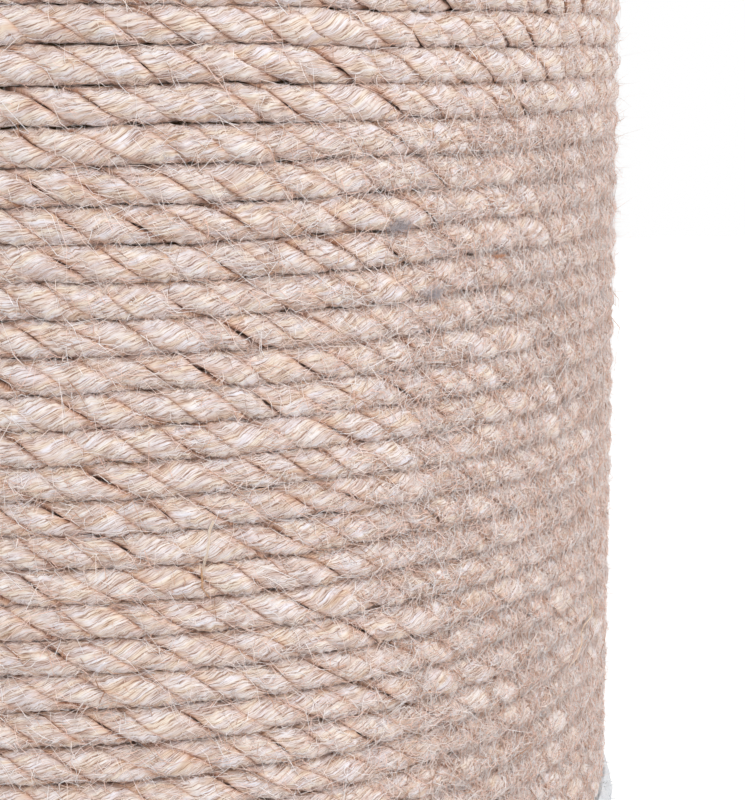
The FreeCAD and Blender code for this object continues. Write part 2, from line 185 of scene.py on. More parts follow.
# Foot cover
#
# Short-pile plush, cut square, pulled over the board's edges and corners and stapled to its underside.
# It has a round opening where the post's tube stands on the board.

TURN = 2 * math.pi
COVER_EDGE_RADIUS = 10.0 * MM
PLUSH_CLOTH = 3.7 * MM
PILE_DEPTH = 0.9 * MM
COVER_CORNER_RADIUS = 44.0 * MM
COVER_CREASE = 1.5 * MM
HEM_CLOTH = 1.2 * MM
HEM_REACH = 34.0 * MM
SEAT_GAP = 0.3 * MM
COVER_COLUMNS = 640

cover_low, cover_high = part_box("base_cover")
cover_half = cover_high.x
tube_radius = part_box("post_tube")[1].x
sleeve_bore = tube_radius + SEAT_GAP


def wall_faces(rings, points, closed):
    """Quads along so many rings of points; where it is closed, the last ring meets the first."""
    ring = np.arange(rings if closed else rings - 1)[:, None]
    here = ring * points
    there = (ring + 1) % rings * points
    point = np.arange(points)[None, :]
    after = (point + 1) % points
    quads = np.stack([here + point, here + after, there + after, there + point], axis=2)
    return quads.reshape(-1, 4).tolist()


def tube_faces(rings, points):
    """Quads along a tube of so many rings, and one face over each end."""
    last = (rings - 1) * points
    return wall_faces(rings, points, False) + [list(range(points))[::-1], list(range(last, last + points))]


def new_piece(name, vertices, faces, material, slot):
    """Smooth mesh object in the frame's axes that rides on the object's one body."""
    mesh = bpy.data.meshes.new(name)
    mesh.from_pydata(vertices.tolist(), [], faces)
    mesh.polygons.foreach_set("use_smooth", np.ones(len(mesh.polygons), bool))
    mesh.materials.append(material)
    mesh.update()
    piece = bpy.data.objects.new(name, mesh)
    bpy.context.scene.collection.objects.link(piece)
    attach(piece, "root")
    return piece


def read_vectors(collection, what):
    """Vectors of all the vertices of a mesh as an array."""
    values = np.empty(len(collection) * 3, np.float32)
    collection.foreach_get(what, values)
    return values.reshape(-1, 3).astype(float)


def write_vectors(mesh, name, vectors):
    attribute = mesh.attributes.new(name, "FLOAT_VECTOR", "POINT")
    attribute.data.foreach_set("vector", vectors.astype(np.float32).ravel())


def write_map(mesh, corners):
    """Texture map from the places of the first faces' corners; the ends of tubes get none."""
    layer = mesh.uv_layers.new(name="OFBake")
    spare = len(mesh.loops) * 2 - corners.size
    layer.uv.foreach_set("vector", np.concatenate([corners.ravel(), np.zeros(spare)]).astype(np.float32))


def unit(vectors):
    return vectors / (np.linalg.norm(vectors, axis=-1, keepdims=True) + 1e-12)


def raise_pile(piece, share, clump):
    """Moves a cloth's vertices out and in by uneven clumps of pile, each by its share of the pile's depth."""
    places = read_vectors(piece.data.vertices, "co")
    normals = read_vectors(piece.data.vertices, "normal")
    for size, part in ((clump, 0.62), (clump / 2.3, 0.38)):
        swell = np.array([noise.noise(Vector(place / size)) for place in places])
        places += normals * (swell * share * PILE_DEPTH * part)[:, None]
    piece.data.vertices.foreach_set("co", places.astype(np.float32).ravel())
    piece.data.update()


def hair_piece(name, rows, radius, material, slot, rng):
    """Many fine hairs as one piece: three-sided spikes through rows of points, thinner towards the tip."""
    middles = np.stack(rows, axis=1)
    count = len(middles)
    rings = len(rows) - 1
    towards = np.gradient(middles, axis=1)[:, :rings]
    side = unit(np.cross(middles[:, -1] - middles[:, 0], rng.normal(size=(count, 3))))[:, None, :]
    third = unit(np.cross(towards, side))
    taper = 1 - 0.6 * np.linspace(0, 1, rings) ** 2
    thick = (radius[:, None] * taper[None, :])[:, :, None]
    corners = []
    for turned in TURN * np.arange(3) / 3:
        corners.append(middles[:, :rings] + thick * (side * math.cos(turned) + third * math.sin(turned)))
    shafts = np.stack(corners, axis=2).reshape(count, rings * 3, 3)
    vertices = np.concatenate([shafts, middles[:, -1:]], axis=1)

    per_hair = rings * 3 + 1
    last = rings * 3 - 3
    walls = np.array(wall_faces(rings, 3, False), int).reshape(-1, 4)
    tips = np.array([[last, last + 1, last + 3], [last + 1, last + 2, last + 3], [last + 2, last, last + 3]])
    faces = []
    for part in (walls, tips, np.array([[2, 1, 0]])):
        faces += (part + (np.arange(count) * per_hair)[:, None, None]).reshape(-1, part.shape[1]).tolist()
    piece = new_piece(name, vertices.reshape(-1, 3), faces, material, slot)
    shade = np.repeat(rng.uniform(0, 1, count), per_hair)
    write_vectors(piece.data, "hair_shade", np.stack([shade] * 3, axis=1))

    cells = math.ceil(math.sqrt(count))
    cell = np.stack([np.arange(count) % cells, np.arange(count) // cells], axis=1)[:, None]
    spans = []
    for ring in range(rings):
        for point in range(3):
            span = [(ring, point), (ring, point + 1), (ring + 1, point + 1), (ring + 1, point)]
            spans += span if ring < rings - 1 else span[:3]
    spans = 0.1 + 0.8 * np.array(spans) / (rings, 3)
    wall_corners = 12 * (rings - 1)
    maps = [((cell + part) / cells).ravel() for part in (spans[:wall_corners], spans[wall_corners:])]
    write_map(piece.data, np.concatenate(maps))


def pile_tufts(name, cloth, shares, count, length, seed):
    """Tufts of pile that stand out of a cloth where its share of pile is high, leaning all ways."""
    rng = np.random.default_rng(seed)
    mesh = cloth.data
    faces = [face for face in mesh.polygons if face.loop_total == 4]
    quads = np.array([face.vertices[:] for face in faces])
    chance = np.array([face.area for face in faces]) * shares[quads].min(axis=1)
    face = rng.choice(len(quads), count, p=chance / chance.sum())
    blend = rng.dirichlet([1, 1, 1, 1], count)[:, :, None]
    root = (read_vectors(mesh.vertices, "co")[quads[face]] * blend).sum(axis=1)
    up = (read_vectors(mesh.vertices, "normal")[quads[face]] * blend).sum(axis=1)
    lean = rng.normal(size=(count, 3)) * 0.45
    curl = rng.normal(size=(count, 3)) * 0.35
    reach = (length * rng.uniform(0.5, 1.25, count))[:, None]
    rows = []
    for share in (-0.35, 0.3, 1.0):
        rows.append(root + reach * (up * share + lean * share + curl * share * abs(share)))
    radius = rng.uniform(0.09, 0.19, count) * MM
    hair_piece(name, rows, radius, plush_pile, "plush", rng)


def rounded_square(half, corner, count):
    """Points evenly round a square with rounded corners, and the level direction out of each."""
    straight = 2 * (half - corner)
    side_length = straight + corner * TURN / 4
    along = np.arange(count) / count * 4 * side_length
    side = np.floor(along / side_length)
    rest = along - side * side_length
    turn = np.clip((rest - straight) / corner, 0, TURN / 4)
    x = half - corner + corner * np.cos(turn)
    y = np.minimum(rest, straight) - straight / 2 + corner * np.sin(turn)
    facing = side * TURN / 4
    cos, sin = np.cos(facing), np.sin(facing)
    place = np.stack([x * cos - y * sin, x * sin + y * cos], axis=1)
    return place, np.stack([np.cos(turn + facing), np.sin(turn + facing)], axis=1)


def plush_material():
    """Woven back of the plush seen through its pile: pale cool grey-white, softly uneven."""
    cloth = Finish(
        "plush", Roughness=0.9, Sheen_Weight=0.55, Sheen_Roughness=0.45, Specular_IOR_Level=0.15
    )
    clumps = cloth.pattern("Noise", Scale=230.0, Detail=4.0, Roughness=0.65)
    clump_colour = cloth.shades(clumps, 0, (0.34, 223, 225, 229), (0.5, 231, 233, 236), (0.66, 238, 240, 241))
    pile = cloth.pattern("Noise", Scale=1400.0, Detail=3.0, Roughness=0.7)
    pile_colour = cloth.shades(pile, 0, (0.35, 240, 241, 243), (0.62, 255, 255, 255))
    cloth.colour(cloth.multiply(0.8, clump_colour, pile_colour))
    cloth.relief(pile, 0, 0.7 * MM, 0.8)
    return cloth.material


def hair_material(name, stops, **values):
    """Finish of hairs that each have one shade out of these stops."""
    hair = Finish(name, **values)
    hair.colour(hair.shades(hair.add("Attribute", attribute_name="hair_shade"), "Fac", *stops))
    return hair.material


plush = plush_material()
pile_stops = ((0.0, 220, 223, 228), (0.4, 233, 235, 238), (1.0, 246, 247, 248))
plush_pile = hair_material("plush_pile", pile_stops, Roughness=0.8, Sheen_Weight=0.4, Specular_IOR_Level=0.2)


def close_cloth(name, rings, shares, turned, clump):
    """Closed plush cloth through these rings, its faces turned or not, and its vertices' shares of pile."""
    faces = wall_faces(len(rings), len(rings[0]), True)
    if turned:
        faces = [face[::-1] for face in faces]
    cloth = new_piece(name, np.concatenate(rings), faces, plush, "plush")
    pile = np.repeat(np.array(shares, float), len(rings[0]))
    raise_pile(cloth, pile, clump)
    return cloth, pile


def lay_foot_cover():
    """The cover as one closed cloth: out over the board, down its side, under its edge, and back inside."""
    outline, way = rounded_square(cover_half, COVER_CORNER_RADIUS, COVER_COLUMNS)
    hole = unit(outline) * sleeve_bore
    top = cover_high.z
    low = cover_low.z
    edge = COVER_EDGE_RADIUS
    crease = COVER_CREASE
    rings = []
    shares = []

    def ring(inset, height, pile, spread=1):
        """One ring inside the outline, which less spread draws in to the opening for the post."""
        flat = (outline - way * inset) * spread + hole * (1 - spread)
        rings.append(np.column_stack([flat, np.full(COVER_COLUMNS, height)]))
        shares.append(pile)

    for share in np.linspace(0, 1, 44):
        ring(edge, top, 1, share)
    for turn in np.linspace(0, TURN / 4, 9)[1:]:
        ring(edge * (1 - math.sin(turn)), top - edge * (1 - math.cos(turn)), 1)
    for share in np.linspace(0, 1, 12)[1:]:
        ring(0, top - edge - (top - edge - low - crease) * share, 1)
    for turn in np.linspace(0, TURN / 4, 4)[1:]:
        ring(crease * (1 - math.cos(turn)), low + crease * (1 - math.sin(turn)), 0.4)
    for share in np.linspace(0, 1, 10)[1:]:
        ring(crease + (HEM_REACH - crease) * share, low, 0)
    inner = low + HEM_CLOTH
    for share in np.linspace(1, 0, 5):
        ring(PLUSH_CLOTH + (HEM_REACH - PLUSH_CLOTH) * share, inner, 0)
    for share in np.linspace(0, 1, 5)[1:]:
        ring(PLUSH_CLOTH, inner + (top - PLUSH_CLOTH - inner) * share, 0)
    for share in np.linspace(1, 0, 9):
        ring(edge, top - PLUSH_CLOTH, 0, share)

    cloth, pile = close_cloth("foot_cover", rings, shares, True, 5 * MM)
    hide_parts("base_cover")
    pile_tufts("foot_cover_pile", cloth, pile, count=12000, length=2.0 * MM, seed=40)


lay_foot_cover()


# Lining under the foot
#
# Black spun-bonded cloth that hides the hem. It has a round hole over each bolt, so that the bolts can be
# reached, and it is stapled through the hem into the board.

LINING_CORNER = 28.0 * MM
LINING_HOLE = 14.0 * MM
LINING_GRID = 7.0 * MM
WASHER_RADIUS = 12.0 * MM

lining_low, lining_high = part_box("base_lining")


def lining_material():
    """Spun-bonded cloth: near black, pressed all over with small square points."""
    cloth = Finish("spun_bonded_lining", Roughness=0.85, Sheen_Weight=0.2)
    points = cloth.pattern("Voronoi", Scale=900.0, Randomness=0.15, distance="CHEBYCHEV")
    stops = ((0.0, 62, 62, 64), (0.35, 48, 48, 51), (0.6, 34, 34, 37))
    return cloth.grain(points, "Distance", 0.2 * MM, 0.7, *stops)


def cut_lining():
    """Flat cloth with its four bolt holes, as triangles between its outline, its holes and a loose grid."""
    rng = np.random.default_rng(5)
    half = lining_high.x
    loops = [rounded_square(half, LINING_CORNER, 200)[0]]
    bolt_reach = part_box("base_washers")[1].x - WASHER_RADIUS
    turn = np.arange(40) / 40 * TURN
    middles = [(x * bolt_reach, y * bolt_reach) for x in (-1, 1) for y in (-1, 1)]
    for middle in middles:
        loops.append(np.stack([np.cos(turn), np.sin(turn)], axis=1) * LINING_HOLE + middle)
    steps = np.arange(-half + LINING_GRID, half - LINING_GRID / 2, LINING_GRID)
    grid = np.stack(np.meshgrid(steps, steps), axis=2).reshape(-1, 2)
    grid += rng.uniform(-1, 1, grid.shape) * MM

    def inside(points, margin):
        corner = np.maximum(np.abs(points) - (half - LINING_CORNER), 0)
        kept = np.hypot(corner[:, 0], corner[:, 1]) < LINING_CORNER - margin
        for middle in middles:
            kept &= np.hypot(*(points - middle).T) > LINING_HOLE + margin
        return kept

    points = [Vector(point) for point in np.concatenate(loops + [grid[inside(grid, 2 * MM)]])]
    edges = []
    start = 0
    for loop in loops:
        edges += [(start + i, start + (i + 1) % len(loop)) for i in range(len(loop))]
        start += len(loop)
    flat, _, triangles, *_ = geometry.delaunay_2d_cdt(points, edges, [], 0, 1e-7)
    flat = np.array(flat)
    triangles = np.array(triangles)
    triangles = triangles[inside(flat[triangles].mean(axis=1), 0.0)]

    count = len(flat)
    ripple = np.array([noise.noise(Vector((*place, 0.3)) / 0.03) for place in flat]) * 0.12 * MM
    under = np.column_stack([flat, lining_low.z + 0.12 * MM + ripple])
    over = np.column_stack([flat, np.full(count, lining_high.z)])
    faces = triangles[:, ::-1].tolist() + (triangles + count).tolist()
    sides = set()
    for a, b, c in triangles.tolist():
        sides |= {(a, b), (b, c), (c, a)}
    for a, b in sorted(sides):
        if (b, a) not in sides:
            faces.append([a, b, b + count, a + count])
    return np.concatenate([under, over]), faces


lining = new_piece("lining_cloth", *cut_lining(), lining_material(), "lining")
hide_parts("base_lining")


# Staples, screws, bolts and nails
#
# Zinc-plated steel: bolts, washers and tee nuts pull the post down on the foot, screws hold the feet and the
# top, nails hold the plugs in the tube, and staples hold the cloth.


def zinc_material(name, colour, roughness):
    """Bright zinc plating with faint clouds and rubbed spots."""
    steel = Finish(name, Metallic=1.0)
    clouds = steel.pattern("Noise", Scale=320.0, Detail=4.0, Roughness=0.6)
    light = tuple(min(1.0, value * 1.18) for value in colour[:3])
    dark = tuple(value * 0.8 for value in colour[:3])
    steel.colour(steel.ramp(clouds, 0, [(0.35, (*dark, 1.0)), (0.5, colour), (0.68, (*light, 1.0))]))
    rubbed = steel.add("MapRange", To_Min=roughness - 0.1, To_Max=roughness + 0.14)
    steel.join(steel.join(clouds, 0, rubbed, "Value"), 0, steel.surface, "Roughness")
    steel.relief(clouds, 0, 0.05 * MM, 0.4)
    return steel.material


zinc = zinc_material("zinc_plated_steel", srgb(200, 202, 206), 0.36)
dress(zinc, "base_bolts", "base_washers", "tee_nuts", "foot_screws", "top_screws")
dress(zinc_material("plain_steel_nail", srgb(172, 172, 172), 0.42), "lower_plug_nails", "upper_plug_nails")
dress(zinc_material("staple_wire", srgb(206, 207, 208), 0.3), "base_staples", "top_staples")


# Feet
#
# Four moulded feet of black rubber, faintly grained by their mould and dusty on the flats.
# Each is held by a screw sunk in its middle.

rubber = Finish("foot_rubber", Roughness=0.62)
dust = rubber.pattern("Noise", Scale=700.0, Detail=5.0, Roughness=0.7)
dress(rubber.grain(dust, 0, 0.08 * MM, 0.5, (0.4, 38, 38, 40), (0.7, 58, 58, 60)), "base_feet")


# Tube
#
# The post is a spiral-wound tube of brown kraft card, flecked with longer fibres. The rope is glued round it,
# and a board plug is nailed in each end.

card = Finish("kraft_card", Roughness=0.8)
flecks = card.pattern("Noise", stretch=(1, 1, 0.25), Scale=900.0, Detail=5.0)
kraft = ((0.3, 138, 104, 70), (0.5, 164, 128, 90), (0.7, 186, 152, 112))
dress(card.grain(flecks, 0, 0.1 * MM, 0.5, *kraft), "post_tube")


# Lower sleeve
#
# A band of the same plush, glued round the tube below the rope and butted in one seam at the back. The rope's
# first turn is driven down on it, so its pile stands up in a thin fringe over that turn's lower half.

SLEEVE_COLUMNS = 640
SLEEVE_ROW = 2.0 * MM
SLEEVE_OUT = 8.4 * MM
SLEEVE_LIP = 0.4 * MM
SLEEVE_BUTT_ROUND = 2.0 * MM
SLEEVE_ROUND = 4.6 * MM
SLEEVE_ROUND_DEPTH = 1.7 * MM
SEAM_DEPTH = 1.6 * MM
SEAM_WIDTH = 1.4 * MM
FRINGE_TUFTS = 2800
FRINGE_OUT = 6.1 * MM
ROPE_PITCH = 6.0 * MM
DROP_SHARE = 0.965
DROP_LENGTH_SHARE = 0.02

sleeve_low, sleeve_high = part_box("lower_sleeve")
turn_shares = np.arange(SLEEVE_COLUMNS) / SLEEVE_COLUMNS


def smoothstep(share):
    share = np.clip(share, 0, 1)
    return share * share * (3 - 2 * share)


def lead_step(share):
    """How far the rope's end turn has climbed at this share of a turn, with its short drop at the tuck."""
    return ROPE_PITCH * share * (1 - smoothstep((share - DROP_SHARE) / DROP_LENGTH_SHARE))


def out_of_post(angle):
    """Level directions out of the post at these angles, counted from the back."""
    return np.stack([-np.sin(angle), np.cos(angle), 0 * angle], axis=1)


def wrap_sleeve(name, node, butt_end, rope_end, lead, seed):
    """Closed band of plush round the tube from its butt end to its rounded end, which follows the rope."""
    side = out_of_post(TURN * turn_shares)[:, :2]
    from_seam = np.abs((turn_shares + 0.5) % 1 - 0.5) * TURN * (sleeve_bore + SLEEVE_OUT)
    seam = SEAM_DEPTH * np.exp(-((from_seam / SEAM_WIDTH) ** 2))
    length = np.abs(rope_end + lead - butt_end)
    height = float(length.mean())
    way = math.copysign(1, rope_end - butt_end)
    rings = []
    shares = []

    def ring(out, along, pile):
        flat = side * (sleeve_bore + out - seam * (out > 1 * MM))[:, None]
        rings.append(np.column_stack([flat, butt_end + way * along]))
        shares.append(pile)

    for part in np.linspace(0, 1, 5):
        rounded = SLEEVE_BUTT_ROUND * (1 - math.sqrt(1 - (1 - part) ** 2))
        ring(SLEEVE_OUT - rounded, SLEEVE_BUTT_ROUND * part + 0 * length, 1)
    straight = length + SLEEVE_LIP - SLEEVE_ROUND - SLEEVE_BUTT_ROUND
    for part in np.linspace(0, 1, round(height / SLEEVE_ROW))[1:]:
        ring(SLEEVE_OUT, SLEEVE_BUTT_ROUND + straight * part, 1)
    for part in np.linspace(0, 1, 14)[1:]:
        ring(SLEEVE_OUT - SLEEVE_ROUND_DEPTH * part**2, length + SLEEVE_LIP - SLEEVE_ROUND * (1 - part), 1)
    for part in np.linspace(0, 1, 6)[1:]:
        under = SLEEVE_LIP * (1 - math.sin(part * TURN / 4))
        ring((SLEEVE_OUT - SLEEVE_ROUND_DEPTH) * (1 - part**2), length + under, 0)
    for part in np.linspace(1, 0, 10)[1:]:
        ring(0.0, length * part, 0)
    ring(SLEEVE_OUT / 2, 0 * length, 0)

    cloth, pile = close_cloth(name, rings, shares, way < 0, 4 * MM)
    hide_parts(node)
    pile_tufts(name + "_pile", cloth, pile, count=10000, length=1.6 * MM, seed=seed)
    stand_fringe(name + "_fringe", butt_end, way, length, seed + 1)


def stand_fringe(name, butt_end, way, length, seed):
    """Thin fringe of pile that stands up out of the sleeve's rope end, in front of the rope's end turn."""
    rng = np.random.default_rng(seed)
    share = rng.uniform(0, 1, FRINGE_TUFTS)
    out = out_of_post(TURN * share)
    aside = np.stack([out[:, 1], -out[:, 0], out[:, 2]], axis=1) * rng.normal(0, 0.9, FRINGE_TUFTS)[:, None]
    edge = butt_end + way * np.interp(share, np.append(turn_shares, 1), np.append(length, length[0]))
    tall = rng.uniform(0.8, 3.2, FRINGE_TUFTS) * MM
    leans = rng.uniform(-0.2, 0.7, FRINGE_TUFTS) * MM
    rows = []
    for part in (-0.2, 0.45, 1.0):
        point = out * (sleeve_bore + FRINGE_OUT + leans * part)[:, None] + aside * MM * part * abs(part)
        point[:, 2] = edge + way * tall * part
        rows.append(point)
    radius = rng.uniform(0.07, 0.14, FRINGE_TUFTS) * MM
    hair_piece(name, rows, radius, plush_pile, "plush", rng)


wrap_sleeve("lower_plush_sleeve", "lower_sleeve", sleeve_low.z, sleeve_high.z, lead_step(turn_shares), 60)


# Jute rope
#
# Two lengths of three-strand jute rope are wound tightly round the tube, the second on top of the first.
# Each length starts and ends in a slot at the back, where it turns in through the tube's wall and is glued.

ROPE_DIAMETER = 5.5 * MM
LOOPS_PER_LENGTH = 24
TUCK_BEND = 6.0 * MM
TUCK_DEPTH = 5.5 * MM
JOIN_GAP = 13.0 * MM
STRANDS = 3
STRAND_LAY = 24.0 * MM
STRAND_RADIUS = 1.9 * MM
FIBRE_TURN = 0.335 / MM
EDGE_SHARE = 0.87
LOOSE_RADIUS = 3.40 * MM
ROOM_TO_TUBE = 3.15 * MM
ROOM_TO_NEIGHBOUR = 3.6 * MM
SQUARENESS = 2.5
STRAND_NOTCH = 0.56 * MM
STRAND_SWELL = 0.14 * MM
RING_STEP = 1.95 * MM
STRAND_OVERLAP = 1.04
WINDING_WAVES = ((0.40, 1, 95, 0.4), (0.30, 3, -110, 2.1), (0.22, 7, 55, 5.0), (0.14, 17, -38, 1.2))
END_FADE_TURNS = 3
TUCK_FADE_TURNS = 0.15
MAP_ROWS = 40
MAP_MARGIN = 0.04

winding_radius = sleeve_bore + ROPE_DIAMETER / 2
first_turn = sleeve_high.z + SEAT_GAP + ROPE_DIAMETER / 2
length_per_turn = math.hypot(TURN * winding_radius, ROPE_PITCH)
bend_length = TUCK_BEND * TURN / 4
lead_in = TUCK_DEPTH + bend_length


def waver(along, wavelengths, rng):
    """Smooth random wave of about unit size, made of sines of these wavelengths in mm."""
    total = np.zeros_like(along)
    for wavelength in wavelengths:
        total += np.sin(TURN * along / (wavelength * MM) + rng.uniform(0, TURN))
    return total / math.sqrt(len(wavelengths))


def smooth_field(rows, columns, along, rng):
    """Random field of unit size on a band that is closed round its columns, smoothed along its rows."""
    field = rng.normal(size=(rows, columns))
    field = (np.roll(field, 1, axis=1) + 2 * field + np.roll(field, -1, axis=1)) / 4
    for _ in range(along):
        padded = np.vstack([field[:1], field, field[-1:]])
        field = (padded[:-2] + 2 * padded[1:-1] + padded[2:]) / 4
    return field / field.std()


def pressed(offset, room):
    """Offset from the rope's middle where what lies beside it leaves only so much room."""
    return offset / (1 + (np.abs(offset) / room) ** 8) ** (1 / 8)


def wound(turn, first, last):
    """Point of the winding's middle line after so many turns, the ways out and ahead, and its unevenness."""
    angle = TURN * turn
    outwards = out_of_post(angle)
    ahead = unit(out_of_post(angle + TURN / 4) + (0, 0, ROPE_PITCH / length_per_turn))
    height = ROPE_PITCH * turn
    lift = 0
    for size, around, rise, start in WINDING_WAVES:
        lift += size * MM * np.sin(around * angle + TURN * height / (rise * MM) + start)
    to_end = np.minimum(turn, 2 * LOOPS_PER_LENGTH - turn)
    to_tuck = np.minimum(turn - first, last - turn)
    fade = smoothstep(to_end / END_FADE_TURNS) * smoothstep(to_tuck / TUCK_FADE_TURNS)
    centre = outwards * winding_radius
    centre[:, 2] = first_turn + height + lift * fade
    return centre, outwards, ahead, fade


def rope_path(first, last):
    """Middle line of one length from tuck to tuck, with the directions away from the post and ahead."""
    coil_length = (last - first) * length_per_turn
    length = coil_length + 2 * lead_in
    along = np.linspace(0, length, round(length / RING_STEP) + 1)
    on_coil = np.clip(along - lead_in, 0, coil_length)
    centre, outwards, ahead, fade = wound(first + on_coil / length_per_turn, first, last)

    before = np.clip(lead_in - along, 0, bend_length)
    after = np.clip(along - lead_in - coil_length, 0, bend_length)
    straight = np.maximum(TUCK_DEPTH - along, 0) + np.maximum(along - length + TUCK_DEPTH, 0)
    bend = ((after - before) / TUCK_BEND)[:, None]
    away = outwards * np.cos(bend) + ahead * np.sin(bend)
    towards = ahead * np.cos(bend) - outwards * np.sin(bend)
    tucked = centre + TUCK_BEND * (away - outwards) - outwards * straight[:, None]
    return along, np.where(bend != 0, tucked, centre), away, towards, fade


on_face = np.array([-1.0, -0.8, -0.54, -0.27, 0, 0.27, 0.54, 0.8, 1.0])
inner_turn = [1.02, 0.0, -1.02]
inner_reach = [1.5 * MM, 0.25 * MM, 1.5 * MM]
strand_faces = {}


def lay_rope(name, first, last, seed):
    """One length of rope as its three strands, each a closed mesh whose edges follow it."""
    rng = np.random.default_rng(seed)
    along, centre, away, towards, fade = rope_path(first, last)
    swell = STRAND_SWELL * waver(along, [83, 47, 29, 211], rng)
    twist = TURN * along / STRAND_LAY + 0.5 * waver(along, [190, 77, 331, 49], rng)
    across = np.cross(towards, away)
    section_turn = TURN / 6 * np.concatenate([on_face * STRAND_OVERLAP, inner_turn])
    rings, points = len(along), len(section_turn)
    for strand in range(STRANDS):
        shift = 0.19 * waver(along, [61, 37, 23, 13], rng)
        angle = section_turn[None, :] + (twist + shift + TURN * strand / STRANDS)[:, None]
        fullness = 1 + 0.055 * waver(along, [53, 31, 17, 11], rng)
        notch = STRAND_NOTCH * np.clip(1 + 0.5 * waver(along, [43, 19, 9], rng), 0.25, 1.5)
        face_reach = LOOSE_RADIUS - notch[:, None] * np.abs(on_face) ** 2.1
        reach = np.hstack([face_reach, np.tile(inner_reach, (rings, 1))]) * fullness[:, None]
        reach *= 1 + 0.038 * smooth_field(rings, points, 1, rng)
        corner = np.abs(np.cos(angle)) ** SQUARENESS + np.abs(np.sin(angle)) ** SQUARENESS
        reach = reach * corner ** (-1 / SQUARENESS)
        out = reach * np.cos(angle)
        out = np.where(out < 0, pressed(out, ROOM_TO_TUBE), out) + (swell * fade)[:, None]
        level = pressed(reach * np.sin(angle), ROOM_TO_NEIGHBOUR)
        surface = centre[:, None, :] + away[:, None, :] * out[:, :, None]
        surface = surface + across[:, None, :] * level[:, :, None]
        piece_name = "%s_strand_%d" % (name, strand + 1)
        faces = tube_faces(rings, points)
        piece = new_piece(piece_name, surface.reshape(-1, 3), faces, jute, "jute_rope")
        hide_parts(name)
        map_in_rows(piece.data, rings, points)
        strand_faces[name, strand] = (surface[:, : len(on_face)], centre)

        round_strand = np.arcsin(EDGE_SHARE * np.clip(section_turn * 6 / TURN, -1, 1))
        laid = STRAND_RADIUS * (round_strand + FIBRE_TURN * along[:, None])
        laid = laid + 0.03 * MM * smooth_field(rings, points, 4, rng)
        places = [along[:, None] + 0 * laid, laid, 0 * laid + 0.7 * (strand + STRANDS * seed)]
        write_vectors(piece.data, "laid_straight", np.stack(places, axis=2))
        # Painted light: the strands' outer crests are painted lighter as painted highlight, and the notches
        # between strands and the sides towards the post darker as painted shade.
        crest = np.append(1 - on_face**2, [0, 0, 0])
        painted_crest_light = crest[None, :] * (0.4 + 0.6 * np.clip(np.cos(angle), 0, 1))
        write_vectors(piece.data, "painted_crest_light", np.stack([painted_crest_light] * 3, axis=2))


def map_in_rows(mesh, rings, points):
    """Texture map that cuts a long tube into rows, one above the other, so that it fills the square."""
    per_row = math.ceil((rings - 1) / MAP_ROWS)
    ring, point = np.divmod(np.arange((rings - 1) * points)[:, None], points)
    row, column = np.divmod(ring, per_row)
    across = (column + (0, 0, 1, 1)) / per_row
    up = (row + MAP_MARGIN + (1 - 2 * MAP_MARGIN) * (point + (0, 1, 1, 0)) / points) / MAP_ROWS
    write_map(mesh, np.stack([across, up], axis=2))


def jute_material():
    """Natural jute: pale, straw and brown fibres that run nearly along the rope, matt and hairy."""
    rope = Finish(
        "natural_jute", Roughness=0.62, Sheen_Weight=0.5, Sheen_Roughness=0.45, Specular_IOR_Level=0.4,
        Sheen_Tint=srgb(244, 232, 226),
    )
    laid = rope.add("Attribute", attribute_name="laid_straight")

    def streaks(along, across, detail, *stops):
        """Noise drawn out along the rope, so many streaks a metre along it and across it, and its shades."""
        values = {"Scale": 1.0, "Detail": detail, "Roughness": 0.55, "Distortion": 0.15}
        noise_along = rope.drawn_out(laid, "Vector", (along, across, across), "Noise", **values)
        return noise_along, rope.shades(noise_along, 0, *stops)

    thread_stops = ((0.33, 168, 141, 125), (0.44, 230, 216, 207), (0.53, 255, 255, 255))
    fibre_stops = ((0.28, 218, 198, 186), (0.40, 240, 230, 224), (0.50, 252, 248, 246), (0.60, 255, 255, 255))
    yarn_stops = ((0.28, 228, 211, 201), (0.42, 245, 237, 233), (0.56, 255, 254, 255))
    batch_stops = ((0.36, 251, 241, 223), (0.5, 250, 246, 243), (0.64, 246, 245, 251))
    # The crest stops hold painted shade, a warm brown in the notches between strands, and painted highlight
    # on the outer crests.
    crest_stops = ((0.16, 204, 158, 128), (0.34, 234, 209, 194), (0.60, 243, 233, 228), (1.0, 243, 241, 242))
    threads, thread_colour = streaks(330, 6600, 2.0, *thread_stops)
    fibres, fibre_colour = streaks(190, 2700, 2.0, *fibre_stops)
    yarns, yarn_colour = streaks(90, 900, 1.0, *yarn_stops)
    _, batch_colour = streaks(130, 1300, 3.0, *batch_stops)
    painted_crest_light = rope.blend(yarns, 0.5, rope.add("Attribute", attribute_name="painted_crest_light"), "Fac")
    crest_colour = rope.shades(painted_crest_light, 0, *crest_stops)
    colour = thread_colour
    for share, tint in ((0.9, fibre_colour), (0.8, yarn_colour), (0.9, batch_colour), (0.9, crest_colour)):
        colour = rope.multiply(share, colour, tint)
    rope.colour(colour)
    rope.relief(rope.blend(rope.blend(threads, 0.4, fibres), 0.8, yarns), 0, 0.35 * MM, 0.9)
    return rope.material


jute = jute_material()
join_share = JOIN_GAP / (TURN * winding_radius)
rope_lengths = {
    "rope_lower_winding": (0.0, LOOPS_PER_LENGTH - join_share),
    "rope_upper_winding": (float(LOOPS_PER_LENGTH), 2.0 * LOOPS_PER_LENGTH),
}
for seed, (name, (first, last)) in enumerate(rope_lengths.items()):
    lay_rope(name, first, last, seed)


# Fibres of the rope
#
# Some jute fibres lie on the strands, some come loose and bridge the grooves, and a short fuzz stands out all
# over. They are thickest low on the front right of the post, which is seen from near by.

VALLEY_DEPTH = 1.25 * MM
PICTURED_TURNS = 28.0
BARE_END_TURNS = 0.02


